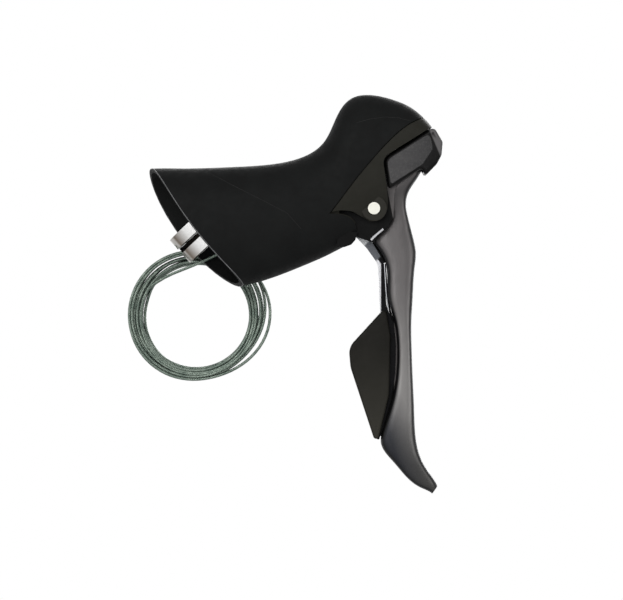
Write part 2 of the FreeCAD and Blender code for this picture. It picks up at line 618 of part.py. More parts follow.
def shift_axle():
    """Long bolt through the whole brake unit: head at the front plate, nut behind the release lever."""
    rod = shift_disc((AXLE_NUT[0], FRONT_PLATE[1]), SHIFT_AXLE_RADIUS)
    head = shift_disc((FRONT_PLATE[1], FRONT_PLATE[1] + AXLE_HEAD_HEIGHT), AXLE_HEAD_RADIUS)
    return rod.fuse(head).removeSplitter()


def axle_nut():
    nut = hex_prism(AXLE_NUT_FLATS, AXLE_NUT[1] - AXLE_NUT[0], at_shift(AXLE_NUT[0]), SHIFT_AXIS)
    return nut.cut(shift_disc(widened(AXLE_NUT), SHIFT_AXLE_RADIUS + RUNNING_CLEARANCE))


def front_plate():
    """Plate at the front end of the shift axle that carries the cover."""
    half = COVER_HALF_WIDTH - COVER_WALL - RUNNING_CLEARANCE
    low, high = FRONT_PLATE_HEIGHT
    corners = [(-half, low), (half, low), (half, high), (-half, high)]
    plate = shift_plate([(side, up, FRONT_PLATE_CORNER) for side, up in corners], FRONT_PLATE)
    return plate.cut(shift_disc(widened(FRONT_PLATE), SHIFT_AXLE_RADIUS + RUNNING_CLEARANCE))


def front_bush():
    """Spacer between the main lever's hub and the front plate."""
    span = (LEVER_HUB[1] + MOVING_CLEARANCE, FRONT_PLATE[0])
    return shift_disc(span, FRONT_BUSH_RADIUS).cut(shift_disc(span, SHIFT_AXLE_RADIUS + RUNNING_CLEARANCE))


def unit_cover():
    """Shell over the front of the brake unit, open at the rear and below for the lever's neck."""
    outside = side_plate(COVER_OUTLINE, -COVER_HALF_WIDTH, COVER_HALF_WIDTH)
    rims = [e for e in outside.Edges if abs(abs(e.CenterOfMass.y) - COVER_HALF_WIDTH) < 0.01]
    outside = outside.makeFillet(COVER_ROUND, rims)
    inner_half = COVER_HALF_WIDTH - COVER_WALL
    outline = rounded_wire(COVER_OUTLINE, lambda x, z: Vec(x, -inner_half, z))
    inside = Part.Face(outline).makeOffset2D(-COVER_WALL).extrude(LEFT * 2 * inner_half)
    opening = side_plate(COVER_OPENING, -inner_half, inner_half)
    seat = side_plate(PLATE_OUTLINE, -BEYOND, -COVER_HALF_WIDTH + PLATE_THICKNESS - PLATE_STANDOFF)
    return outside.cut(inside).cut(opening).cut(seat)


def name_plate():
    """Bare panel let into the outer side of the cover."""
    low = -COVER_HALF_WIDTH - PLATE_STANDOFF
    plate = side_plate(PLATE_OUTLINE, low, low + PLATE_THICKNESS)
    rims = [e for e in plate.Edges if abs(e.CenterOfMass.y - low) < 0.01]
    return plate.makeChamfer(PLATE_STANDOFF / 2, rims)


def main_lever():
    """Brake blade and shift lever in one: a curved, tapering blade on a hub round the shift axle."""
    blade = Part.makeLoft([oval(*section) for section in BLADE_SECTIONS], True, False)
    room = shift_disc((DRUM[0] - BEYOND, LEVER_HUB[0]), RATCHET_RADIUS + 2 * MOVING_CLEARANCE)
    flange_span = (LEVER_HUB[0], LEVER_HUB[0] + LEVER_FLANGE)
    pin = polar(WINDING_PAWL_TURN - PAWL_LEAD, PAWL_PIVOT_RADIUS)
    rise = pin[1] + PAWL_BOSS_RADIUS
    waist = LEVER_HUB_RADIUS + LEVER_FLANGE_WAIST
    foot = -LEVER_HUB_RADIUS - LEVER_FLANGE_FOOT
    flange = shift_plate([
        (pin[0] - PAWL_BOSS_RADIUS, rise, LEVER_FLANGE_CORNER),
        (pin[0] + PAWL_BOSS_RADIUS, rise, LEVER_FLANGE_CORNER),
        (waist, 0.0, LEVER_HUB_RADIUS), (LEVER_HUB_RADIUS, foot), (-LEVER_HUB_RADIUS, foot),
        (-waist, 0.0, LEVER_HUB_RADIUS),
    ], flange_span)
    body = blade.cut(room).fuse(shift_disc(LEVER_HUB, LEVER_HUB_RADIUS)).fuse(flange)
    bore = shift_disc((LEVER_HUB[0] - OVERSHOOT, BEYOND), SHIFT_AXLE_RADIUS + RUNNING_CLEARANCE)
    pin_hole = pawl_rod(WINDING_PAWL_TURN, PAWL_PIN_RADIUS + RUNNING_CLEARANCE, flange_span)
    front_room = shift_disc((LEVER_HUB[1], BEYOND), LEVER_HUB_RADIUS + OVERSHOOT)
    return body.cut(bore).cut(pin_hole).cut(front_room).removeSplitter()


def release_arm():
    """Steel arm of the release lever, from its hub behind the carrier down to the paddle."""
    arm = side_plate(ARM_FRONT + ARM_REAR, -ARM_HALF_WIDTH, ARM_HALF_WIDTH)
    hub = shift_disc(RELEASE_HUB, RELEASE_HUB_RADIUS)
    bore = shift_disc((-BEYOND, BEYOND), SHIFT_AXLE_RADIUS + RUNNING_CLEARANCE)
    behind = shift_disc((-BEYOND, RELEASE_HUB[0]), RELEASE_HUB_RADIUS)
    ahead = shift_disc((RELEASE_HUB[1], BEYOND), RELEASE_HUB_RADIUS)
    return arm.cut(behind).cut(ahead).fuse(hub).cut(bore).removeSplitter()


def release_paddle():
    """Moulded finger paddle pressed on the end of the release arm."""
    paddle = side_plate(PADDLE_OUTLINE, -PADDLE_HALF_WIDTH, PADDLE_HALF_WIDTH)
    rims = [e for e in paddle.Edges if abs(abs(e.CenterOfMass.y) - PADDLE_HALF_WIDTH) < 0.01]
    paddle = paddle.makeFillet(PADDLE_ROUND, rims)
    return paddle.cut(release_arm())


def cable_guide():
    """Steel liner that leads the shift cable from the lever pocket to the rear of the bracket."""
    return guide_rod(GUIDE_RADIUS).cut(guide_rod(CABLE_RADIUS + RUNNING_CLEARANCE))


def shift_cable_lead():
    """The shift cable from the guide's end to the coil: straight runs joined by wide arcs."""
    points = [Vec(*p) for p in LEAD_ROUTE]
    edges = []
    last = points[0]
    for before, corner, after in zip(points, points[1:], points[2:]):
        back = (before - corner).normalize()
        on = (after - corner).normalize()
        half_turn = (math.pi - back.getAngle(on)) / 2
        reach = 0.45 * min((before - corner).Length, (after - corner).Length)
        radius = reach / math.tan(half_turn)
        start, end = corner + back * reach, corner + on * reach
        way_in = (back + on).normalize()
        middle = corner + way_in * (radius / math.cos(half_turn) - radius)
        edges.append(Part.LineSegment(last, start).toShape())
        edges.append(Part.Arc(start, middle, end).toShape())
        last = end
    edges.append(Part.LineSegment(last, points[-1]).toShape())
    path = Part.Wire(edges)
    section = Part.Wire([Part.Circle(points[0], points[1] - points[0], CABLE_RADIUS).toShape()])
    return path.makePipeShell([section], True, False)


def shift_cable_coil():
    """The rest of the shift cable as one ring of loosely wound turns."""
    low = COIL_CENTRE - LEFT * COIL_DEPTH
    outer = Part.Circle(low + COIL_LEAN, LEFT, COIL_OUTER_RADIUS)
    inner = Part.Circle(low, LEFT, COIL_INNER_RADIUS)
    face = Part.Face(Part.Wire([outer.toShape()])).cut(Part.Face(Part.Wire([inner.toShape()])))
    ring = face.extrude(LEFT * 2 * COIL_DEPTH)
    thinnest = COIL_OUTER_RADIUS - COIL_INNER_RADIUS - COIL_LEAN.Length
    rounding = min(COIL_ROUND, 0.45 * thinnest)
    return ring.makeFillet(rounding, [e for e in ring.Edges if e.isClosed()])


holding_pin_span = (CARRIER_PLATE[0], RATCHET[1])
winding_pin_span = (RATCHET[0], LEVER_HUB[0] + LEVER_FLANGE)
spring_room = SPRING_WIRE + RUNNING_CLEARANCE
brake_spring_base = PIVOT + LEFT * (POCKET_INNER - MOVING_CLEARANCE - BRAKE_SPRING_ROOM + spring_room)
brake_spring_height = BRAKE_SPRING_ROOM - 2 * spring_room
parts = {
    "hood": hood(),
    "bracket_body": bracket_body(),
    "clamp_band": clamp_band(),
    "clamp_nut": clamp_nut(),
    "clamp_bolt": clamp_bolt(),
    "lever_axle": lever_axle(),
    "lever_carrier": lever_carrier(),
    "brake_cable_hook": brake_cable_hook(),
    "brake_return_spring": coil_spring(
        brake_spring_base, LEFT, brake_spring_height, spring_round(SLEEVE_RADIUS)),
    "shift_axle": shift_axle(),
    "axle_nut": axle_nut(),
    "front_plate": front_plate(),
    "front_bush": front_bush(),
    "unit_cover": unit_cover(),
    "name_plate": name_plate(),
    "cable_drum": cable_drum(),
    "ratchet_wheel": ratchet_wheel(),
    "drum_spring": shift_spring((DRUM[0], DRUM[1] - DRUM_FLANGE), DRUM_SPRING_RADIUS),
    "holding_pawl": pawl(HOLDING_PAWL_TURN),
    "holding_pawl_pin": pawl_rod(HOLDING_PAWL_TURN, PAWL_PIN_RADIUS, holding_pin_span),
    "winding_pawl": pawl(WINDING_PAWL_TURN),
    "winding_pawl_pin": pawl_rod(WINDING_PAWL_TURN, PAWL_PIN_RADIUS, winding_pin_span),
    "main_lever": main_lever(),
    "lever_return_spring": shift_spring((LEVER_HUB[1], FRONT_PLATE[0]), spring_round(FRONT_BUSH_RADIUS)),
    "release_arm": release_arm(),
    "release_paddle": release_paddle(),
    "release_spring": shift_spring((RELEASE_HUB[1], CARRIER_PLATE[0]), spring_round(SHIFT_AXLE_RADIUS)),
    "cable_guide": cable_guide(),
    "shift_cable_lead": shift_cable_lead(),
    "shift_cable_coil": shift_cable_coil(),
}
os.makedirs("parts", exist_ok=True)
for name, shape in parts.items():
    print(name, shape.isValid(), round(shape.Volume, 1), len(shape.Solids))
    shape.exportStep(f"parts/{name}.step")
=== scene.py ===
"""Looks of a right-hand road brake shift lever: finishes, edges, the coiled shift cable and the studio.

The frame is the CAD frame: +X forward, +Y to the rider's left, +Z up, origin on the bar's axis. Places and
sizes on the part are in millimetres and become metres through MM. The studio's are in metres.
"""
import bmesh
import bpy
import math
import random
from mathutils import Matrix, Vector
from mathutils.bvhtree import BVHTree


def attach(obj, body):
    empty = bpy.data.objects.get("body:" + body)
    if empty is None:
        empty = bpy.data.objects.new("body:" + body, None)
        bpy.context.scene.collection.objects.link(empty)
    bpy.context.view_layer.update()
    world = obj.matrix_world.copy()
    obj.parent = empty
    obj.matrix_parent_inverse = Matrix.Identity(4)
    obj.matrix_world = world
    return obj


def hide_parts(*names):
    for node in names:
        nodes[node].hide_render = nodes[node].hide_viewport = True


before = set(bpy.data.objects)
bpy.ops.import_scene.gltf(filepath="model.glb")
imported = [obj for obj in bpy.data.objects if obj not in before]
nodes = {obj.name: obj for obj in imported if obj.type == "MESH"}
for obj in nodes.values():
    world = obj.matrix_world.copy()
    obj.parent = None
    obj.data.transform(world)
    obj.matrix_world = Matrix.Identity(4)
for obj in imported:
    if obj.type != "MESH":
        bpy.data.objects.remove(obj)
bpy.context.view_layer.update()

MM = 0.001
FORWARD = (1, 0, 0)
LEFT = (0, 1, 0)
DOWN = (0, 0, -1)

# The photograph's frame: width and height in pixels, size of a pixel, and the pixel at the origin
PHOTO_SIZE = (623, 600)
PIXEL = 0.4 * MM
ORIGIN_PIXEL = (204, 230)

# Studio
CAMERA_DISTANCE = 1.6
SENSOR_WIDTH = 36.0         # in millimetres, as the camera takes it
WORLD_COLOUR = (0.92, 0.95, 1.0)
WORLD_LIGHT = 0.2
FLOOR_PLACE = (0.04, 0, -0.2)
FLOOR_SIZE = 1.2
FLOOR_GLOW = 0.3            # how much brighter the floor is to the eye than its light makes it
# Lamps: place, where each points, size and power in watts
LAMPS = {
    "key": ((-0.3, -1.0, 0.32), (0.04, 0, 0), 0.7, 7.6),
    "fill": ((0.9, -0.7, 0.1), (0.05, 0, -0.03), 0.6, 3.0),
    "back": ((0.25, 1.0, 0.3), (0.04, 0, 0), 0.7, 6.0),
}

# Shift cable
CABLE_DIAMETER = 1.2 * MM
CABLE_LENGTH = 2.1          # in metres
LEAD_ROUTE = [(9.5, 12.8, -7.6), (-3.5, 13.6, -13.8), (-15.2, 17.2, -18.0), (-23.6, 20.8, -23.4)]
COIL_CENTRE = (-4.0, 21.2, -34.0)
COIL_LANES = [21.6, 22.6, 23.7, 24.8, 25.9]     # how far out the bundle's turns lie
COIL_ROWS = [-1.3, 0.0, 1.3]                    # and how far to the left
COIL_START = 160.0          # where the lead joins the coil, in degrees from forward towards up
COIL_STEPS = 24             # points in each turn
COIL_TURNS = 13.75
COIL_SEED = 7
SWAY_FORWARD = (-1.0, 1.1)  # how far the turns' centres stray forward
SWAY_UP = (-1.0, 1.0)       # and up
# How far each stray turn fans out, and where, in degrees
STRAY_TURNS = {
    2: (2.8, 20.0),
    4: (5.4, 8.0),
    5: (4.2, 28.0),
    7: (1.6, 250.0),
    9: (1.5, 190.0),
    10: (2.4, 335.0),
    12: (3.4, 14.0),
}
STRANDS = 6
STRAND_PITCH = 4.0 * MM
STRAND_DEPTH = 0.12 * MM

# Lines moulded into the hood, as pixels of the photograph
PARTING_LINES = {
    "hood_side_line": [(211, 174), (236, 187), (262, 200), (287, 213), (303, 231)],
    "hood_horn_line": [(356, 123), (370, 119), (385, 117), (399, 118), (411, 121)],
}
LINE_STEPS = 8              # points from one pixel of a line to the next
LINE_RADIUS = 0.1 * MM
# The hood's rear lip: a pale bead along it is a painted highlight on its edge
RIM_RADIUS = 0.15 * MM
RIM_BEND = 40.0             # the edge that it follows bends by more than this, in degrees
RIM_FRONT = 30.0            # and lies behind this
RIM_STRIDE = 3              # one of so many points of that edge is used

# The lever's pivot, the line round the axle's end and the cheek's rounded end
PIVOT = (67.8, 0.0, 8.4)
PIN_RING_RADIUS = 3.1
PIN_RING_STEPS = 48
OUTSIDE = -60.0             # a place well outside the part, on its outer side
EAR_RADIUS = 5.1
EAR_FACES = (-12.9, -9.6)   # where its outer and inner faces lie
EAR_ROUND = 0.4
EAR_SIDES = 96

# Thin strips across the lever's plane: X and Z along each, half width and thickness
# A bright strip in front of the arm: a painted reflection of the blade's rear bevel
ARM_REFLECTION_STRIP = ([(72.15, -13.4), (72.55, -20.4), (72.95, -27.0), (73.7, -31.4)], 2.1, 0.5)
BEND_SHADE = ([(67.5, -5.0), (69.5, -8.0), (70.8, -10.2), (72.2, -13.2)], 1.9, 0.9)
COVER_SEAM = ([(74.2, 30.1), (82.0, 34.98), (89.2, 39.5)], 9.6, 0.3)
# The dark strip of painted shade between arm and blade, whose route is found from their surfaces
SPINE_ENDS = (-13.6, -82.4)         # heights at its top and bottom
SPINE_POINTS = 16
SPINE_HALF_WIDTH = 1.7
SPINE_THICKNESS = 0.85
SPINE_SEARCH = (50.0, 100.0)        # a place behind the arm and one in front of the blade
SPINE_SIDE = 0.3                    # how far to the left of the middle plane the search runs

# Thin plates along the lever's plane: outline in X and Z, and the places to the left where the faces lie
HOOD_SKIRT = (
    [(53.0, -7.0), (53.5, -2.0), (56.5, -0.6), (61.4, -1.0), (60.4, -4.2), (58.8, -6.0), (56.0, -7.0)],
    (-10.4, -9.8),
)
CARRIER_SKIRT = (
    [(58.5, -2.2), (61.0, 0.5), (71.8, 1.4), (72.6, -0.4), (69.8, -2.2), (68.4, -4.2), (68.0, -5.5),
     (66.4, -4.8), (62.4, -3.4)],
    (-9.0, -8.5),
)
# A pale plate at the blade's rear shoulder: a painted highlight on its top edge
SHOULDER_HIGHLIGHT = (
    [(66.4, -3.9), (67.6, -2.5), (69.4, -1.0), (71.3, 0.5), (71.7, 0.0), (69.9, -1.6), (68.2, -3.1),
     (67.0, -4.4)],
    (-9.2, -8.9),
)
# Corners of the plate that closes the view between cheek and cover
SHADE_PLATE = ((70.6, -9.36, 22.0), (75.4, -9.12, 30.8))

# The web that closes the band's slot on the far side
BAR_ANGLE = 48.0            # how far the bar points down, forward, in degrees
BAND_RADIUS = 12.4
BAND_LEG = 11.0             # how far the web runs along the band's straight leg
WEB_WIDTH = 2.2
WEB_STEPS = 12              # in the quarter turn round the bar

# Where colours change, many of them painted light and shade: a direction, and the places along it where a
# change begins and ends
NOSE_WAY = (0.92, 0, 0.39)          # forward and up across the nose, for the painted highlight on its bevel
NOSE_HIGHLIGHT = (97.8, 98.3)
PLATE_FRONT_SHADE = (80.0, 90.0)           # forward; painted shade, darker towards the front
BLADE_PAINTED_LIGHT = (20.0, 60.0)           # down; painted light, paler from here downwards
BLADE_FOOT_SHADE = (74.0, 94.0)           # down; painted shade, darker at the foot
FLARE_WAY = (-0.95, 0, -0.31)       # backward and down; painted shade where the blade flares
BLADE_FLARE_SHADE = (-55.0, -45.0)
BLADE_EDGE_SHADE = (0.66, 0.9)            # how squarely a face looks sideways where its black edge, painted shade, ends
CARRIER_WAY = (1.0, 0, 0.2)         # forward and a little up
CARRIER_BRIGHT = (76.2, 76.5)
ARM_WAY = (0.7071, 0, -0.7071)      # forward and down along the arm's bend
ARM_BARE = (49.5, 50.1)
ARM_GREY = (57.0, 57.8)
# The arm is black past any of these; before them its rear edge is pale grey, a painted reflection
ARM_BLACK = [(FORWARD, (70.6, 70.9)), ((0.812, 0, 0.584), (49.4, 49.7)), (DOWN, (33.0, 33.3))]
BAND_WAY = (0.743, 0, 0.669)        # across the bar, from its rear towards the bracket, for the painted shade and light on the strap
BAND_TURN_SHADE = (-10.6, -6.0)
BAND_END_LIGHT = (-11.6, -10.8)
PADDLE_LIGHT = (45.0, 88.0)          # down; painted light, paler towards the lower end

# Textures and edges
NOISE_SPAN = (0.3, 0.7)     # most of a noise texture's values lie between these
DRIFT_DETAIL = 4.0
GRAIN_DETAIL = 2.0
EVEN = (1, 1, 1)            # a texture that isn't drawn out
WELD_DISTANCE = 0.001 * MM
NODE_CRISP = 32.0           # edges that bend by more than this stay crisp on the CAD nodes, in degrees
PIECE_CRISP = 40.0          # and on the pieces made here


def pixel_point(px, py):
    """The point of the lever's middle plane that a pixel of the photograph shows."""
    return Vector(((px - ORIGIN_PIXEL[0]) * PIXEL, 0.0, (ORIGIN_PIXEL[1] - py) * PIXEL))


def add_camera():
    """The photograph's camera, level and square to the lever's plane."""
    camera = bpy.data.objects.new("camera", bpy.data.cameras.new("camera"))
    bpy.context.scene.collection.objects.link(camera)
    aim = pixel_point(PHOTO_SIZE[0] / 2, PHOTO_SIZE[1] / 2)
    camera.location = aim + Vector((0, -CAMERA_DISTANCE, 0))
    camera.rotation_euler = (math.radians(90), 0, 0)
    camera.data.sensor_width = SENSOR_WIDTH
    camera.data.lens = SENSOR_WIDTH * CAMERA_DISTANCE / (PHOTO_SIZE[0] * PIXEL)
    bpy.context.scene.camera = camera


def add_area_light(name, place, aim, size, power):
    """A square lamp that points at a place."""
    lamp = bpy.data.objects.new(name, bpy.data.lights.new(name, "AREA"))
    lamp.data.size = size
    lamp.data.energy = power
    lamp.location = place
    lamp.rotation_euler = (Vector(aim) - Vector(place)).to_track_quat("-Z", "Y").to_euler()
    bpy.context.scene.collection.objects.link(lamp)


def largest(tree, values):
    """The largest of several sockets' values."""
    most = values[0]
    for value in values[1:]:
        either = tree.nodes.new("ShaderNodeMath")
        either.operation = "MAXIMUM"
        tree.links.new(most, either.inputs[0])
        tree.links.new(value, either.inputs[1])
        most = either.outputs[0]
    return most


def looked_at(tree):
    """One where the camera, a reflection or a view through glass looks, and nought for scattered light."""
    path = tree.nodes.new("ShaderNodeLightPath")
    kinds = ("Is Camera Ray", "Is Glossy Ray", "Is Transmission Ray")
    return largest(tree, [path.outputs[kind] for kind in kinds])


def add_world():
    """Even studio light, and white where the camera or a reflection looks past the object."""
    world = bpy.data.worlds.new("studio")
    bpy.context.scene.world = world
    world.use_nodes = True
    tree = world.node_tree
    tree.nodes.clear()
    light = tree.nodes.new("ShaderNodeBackground")
    light.inputs["Color"].default_value = (*WORLD_COLOUR, 1)
    light.inputs["Strength"].default_value = WORLD_LIGHT
    white = tree.nodes.new("ShaderNodeBackground")
    white.inputs["Color"].default_value = (1, 1, 1, 1)
    mix = tree.nodes.new("ShaderNodeMixShader")
    tree.links.new(looked_at(tree), mix.inputs[0])
    tree.links.new(light.outputs[0], mix.inputs[1])
    tree.links.new(white.outputs[0], mix.inputs[2])
    output = tree.nodes.new("ShaderNodeOutputWorld")
    tree.links.new(mix.outputs[0], output.inputs[0])


class Surface:
    """A principled material with helpers for drifting colour, changes along a direction, and relief."""

    def __init__(self, name, colour, roughness, metallic=0.0, specular=0.5):
        self.material = bpy.data.materials.new(name)
        self.material.use_nodes = True
        self.tree = self.material.node_tree
        self.shader = self.tree.nodes["Principled BSDF"]
        self.shader.inputs["Base Color"].default_value = (*colour, 1)
        self.shader.inputs["Roughness"].default_value = roughness
        self.shader.inputs["Metallic"].default_value = metallic
        self.shader.inputs["Specular IOR Level"].default_value = specular
        self.colour = colour
        self.place = self.tree.nodes.new("ShaderNodeTexCoord")

    def node(self, kind, **settings):
        made = self.tree.nodes.new(kind)
        for key, value in settings.items():
            setattr(made, key, value)
        return made

    def link(self, source, target):
        self.tree.links.new(source, target)

    def paint(self, colour):
        """Take the base colour from a socket."""
        self.link(colour, self.shader.inputs["Base Color"])

    def noise(self, scale, detail, stretch):
        """Noise with features of about one over scale metres, drawn out by stretch."""
        mapping = self.node("ShaderNodeMapping")
        mapping.inputs["Scale"].default_value = stretch
        texture = self.node("ShaderNodeTexNoise")
        texture.inputs["Scale"].default_value = scale
        texture.inputs["Detail"].default_value = detail
        self.link(self.place.outputs["Object"], mapping.inputs["Vector"])
        self.link(mapping.outputs["Vector"], texture.inputs["Vector"])
        return texture.outputs["Fac"]

    def ramp(self, value, low, high, start, end):
        """A number that goes from low to high as value goes from start to end."""
        change = self.node("ShaderNodeMapRange")
        for key, number in (("From Min", start), ("From Max", end), ("To Min", low), ("To Max", high)):
            change.inputs[key].default_value = number
        self.link(value, change.inputs["Value"])
        return change.outputs["Result"]

    def past(self, way, span):
        """Nought before a span along a direction and one past it."""
        start, end = span
        reach = self.node("ShaderNodeVectorMath", operation="DOT_PRODUCT")
        reach.inputs[1].default_value = way
        self.link(self.place.outputs["Object"], reach.inputs[0])
        return self.ramp(reach.outputs["Value"], 0.0, 1.0, start * MM, end * MM)

    def mix(self, factor, first, second):
        """A colour between two others, each a colour or a socket."""
        blend = self.node("ShaderNodeMix", data_type="RGBA")
        self.link(factor, blend.inputs["Factor"])
        for socket, colour in ((blend.inputs["A"], first), (blend.inputs["B"], second)):
            if isinstance(colour, tuple):
                socket.default_value = (*colour, 1)
            else:
                self.link(colour, socket)
        return blend.outputs["Result"]

    def mottle(self, scale, other, stretch=EVEN):
        """Let the colour drift towards another."""
        drift = self.ramp(self.noise(scale, DRIFT_DETAIL, stretch), 0.0, 1.0, *NOISE_SPAN)
        mixed = self.mix(drift, self.colour, other)
        self.paint(mixed)
        return mixed

    def vary_roughness(self, scale, low, high, stretch=EVEN):
        drift = self.ramp(self.noise(scale, DRIFT_DETAIL, stretch), low, high, *NOISE_SPAN)
        self.link(drift, self.shader.inputs["Roughness"])

    def bump(self, height, depth, strength):
        """Relief of a given depth in metres."""
        relief = self.node("ShaderNodeBump")
        relief.inputs["Distance"].default_value = depth
        relief.inputs["Strength"].default_value = strength
        self.link(height, relief.inputs["Height"])
        self.link(relief.outputs["Normal"], self.shader.inputs["Normal"])

    def grain(self, scale, depth, strength, stretch=EVEN):
        """Fine relief of a given depth in millimetres."""
        self.bump(self.noise(scale, GRAIN_DETAIL, stretch), depth * MM, strength)


def hood_rubber():
    finish = Surface("hood_rubber", (0.0082, 0.0084, 0.0083), roughness=0.6, specular=0.04)
    finish.mottle(90, (0.0105, 0.011, 0.0108))
    finish.vary_roughness(400, 0.48, 0.66)
    finish.grain(2600, 0.04, 0.5)
    return finish.material


# Pale rubber for the bead on the hood's rear lip: a painted highlight
def hood_edge_highlight():
    finish = Surface("hood_edge_highlight", (0.16, 0.16, 0.165), roughness=0.45, specular=0.4)
    finish.mottle(300, (0.1, 0.1, 0.1))
    return finish.material


def hood_line():
    finish = Surface("hood_line", (0.028, 0.028, 0.027), roughness=0.6, specular=0.05)
    finish.mottle(200, (0.02, 0.02, 0.02))
    return finish.material


def moulded_resin(name, colour, other):
    """Fine-grained resin of the bracket and of its rounded end."""
    finish = Surface(name, colour, roughness=0.5, specular=0.08)
    finish.mottle(140, other)
    finish.vary_roughness(500, 0.46, 0.62)
    finish.grain(3600, 0.03, 0.5)
    return finish.material


def cover_resin():
    """Black resin, with a painted highlight, paler, on the bevel at the nose."""
    finish = Surface("cover_resin", (0.004, 0.004, 0.004), roughness=0.4, specular=0.08)
    drift = finish.mottle(160, (0.007, 0.0067, 0.0067))
    # Painted highlight: paler on the nose's bevel
    finish.paint(finish.mix(finish.past(NOSE_WAY, NOSE_HIGHLIGHT), drift, (0.12, 0.115, 0.115)))
    finish.vary_roughness(600, 0.3, 0.45)
    finish.grain(3000, 0.02, 0.4)
    return finish.material


def plate_gloss():
    """Gloss resin, with painted shade: darker towards the front."""
    finish = Surface("plate_gloss", (0.026, 0.025, 0.026), roughness=0.25, specular=0.3)
    drift = finish.mottle(120, (0.045, 0.043, 0.043), (1, 1, 3))
    # Painted shade: darker towards the front
    finish.paint(finish.mix(finish.past(FORWARD, PLATE_FRONT_SHADE), drift, (0.018, 0.0175, 0.018)))
    finish.vary_roughness(900, 0.2, 0.32)
    return finish.material


def blade_alloy():
    """Satin anodised sides, with painted shade and light: black edges, paler lower down, darker at the
    foot and where the blade flares.
    """
    finish = Surface("blade_alloy", (0.074, 0.069, 0.069), roughness=0.42, metallic=0.55, specular=0.4)
    drift = finish.mottle(60, (0.098, 0.092, 0.092), (1, 1, 0.35))
    # Painted light, paler lower down, then painted shade at the foot and where the blade flares
    paler = finish.mix(finish.past(DOWN, BLADE_PAINTED_LIGHT), drift, (0.17, 0.164, 0.16))
    with_painted_foot_shade = finish.mix(finish.past(DOWN, BLADE_FOOT_SHADE), paler, (0.056, 0.054, 0.051))
    with_painted_flare_shade = finish.mix(finish.past(FLARE_WAY, BLADE_FLARE_SHADE), with_painted_foot_shade, (0.015, 0.016, 0.02))
    # Painted shade: black on the edges that don't face sideways
    facing = finish.node("ShaderNodeSeparateXYZ")
    finish.link(finish.place.outputs["Normal"], facing.inputs[0])
    sideways = finish.node("ShaderNodeMath", operation="ABSOLUTE")
    finish.link(facing.outputs["Y"], sideways.inputs[0])
    side = finish.ramp(sideways.outputs[0], 0.0, 1.0, *BLADE_EDGE_SHADE)
    finish.paint(finish.mix(side, (0.004, 0.004, 0.0045), with_painted_flare_shade))
    finish.vary_roughness(1500, 0.36, 0.5, (1, 1, 0.2))
    finish.grain(5000, 0.01, 0.5, (1, 1, 0.15))
    return finish.material


def carrier_cast():
    """Black casting whose outer wall has the blade's finish where it shows beside the blade."""
    finish = Surface("cast_alloy", (0.003, 0.003, 0.003), roughness=0.5, specular=0.05)
    drift = finish.mottle(300, (0.005, 0.005, 0.005))
    finish.paint(finish.mix(finish.past(CARRIER_WAY, CARRIER_BRIGHT), drift, (0.105, 0.098, 0.097)))
    finish.vary_roughness(900, 0.42, 0.55)
    return finish.material


def arm_steel():
    """Bare steel near the hub, then grey, then black with a painted reflection, pale grey, along its rear
    edge.
    """
    finish = Surface("arm_steel", (0.003, 0.003, 0.0034), roughness=0.35, metallic=0.3, specular=0.06)
    drift = finish.mottle(300, (0.005, 0.005, 0.006))
    black = largest(finish.tree, [finish.past(way, span) for way, span in ARM_BLACK])
    # Painted reflection: pale grey along the rear edge, before the black
    with_edge_reflection = finish.mix(black, (0.6, 0.6, 0.62), drift)
    greyed = finish.mix(finish.past(ARM_WAY, ARM_GREY), (0.1, 0.105, 0.115), with_edge_reflection)
    finish.paint(finish.mix(finish.past(ARM_WAY, ARM_BARE), (0.46, 0.47, 0.48), greyed))
    finish.vary_roughness(900, 0.22, 0.38)
    return finish.material


def band_steel():
    """Polished strap, with painted shade, browner, where it turns away round the bar, and painted light,
    paler again, at its rearmost place.
    """
    finish = Surface("bright_steel", (0.95, 0.945, 0.93), roughness=0.3, metallic=0.6)
    drift = finish.mottle(150, (0.9, 0.89, 0.87))
    # Painted shade where the strap turns away round the bar, then painted light at its rearmost place
    turned = finish.mix(finish.past(BAND_WAY, BAND_TURN_SHADE), (0.2, 0.16, 0.125), drift)
    finish.paint(finish.mix(finish.past(BAND_WAY, BAND_END_LIGHT), (0.6, 0.57, 0.53), turned))
    finish.vary_roughness(900, 0.14, 0.24)
    finish.grain(3600, 0.01, 0.4)
    return finish.material


def band_shade():
    finish = Surface("band_shade", (0.012, 0.01, 0.009), roughness=0.4, specular=0.1)
    finish.mottle(300, (0.02, 0.016, 0.013))
    return finish.material


def paddle_resin():
    """Matte resin, with painted light: paler towards the lower end."""
    finish = Surface("paddle_resin", (0.008, 0.0076, 0.006), roughness=0.5, specular=0.07)
    drift = finish.mottle(110, (0.0125, 0.0118, 0.0098))
    # Painted light: paler towards the lower end
    finish.paint(finish.mix(finish.past(DOWN, PADDLE_LIGHT), drift, (0.038, 0.036, 0.029)))
    finish.vary_roughness(450, 0.42, 0.58)
    finish.grain(3200, 0.03, 0.5)
    return finish.material


def metal(name, colour, other, roughness, metallic=1.0):
    """Plated, ground or turned metal, whose roughness drifts between two values."""
    finish = Surface(name, colour, roughness[0], metallic=metallic)
    finish.mottle(150, other)
    finish.vary_roughness(900, *roughness)
    finish.grain(3600, 0.01, 0.4)
    return finish.material


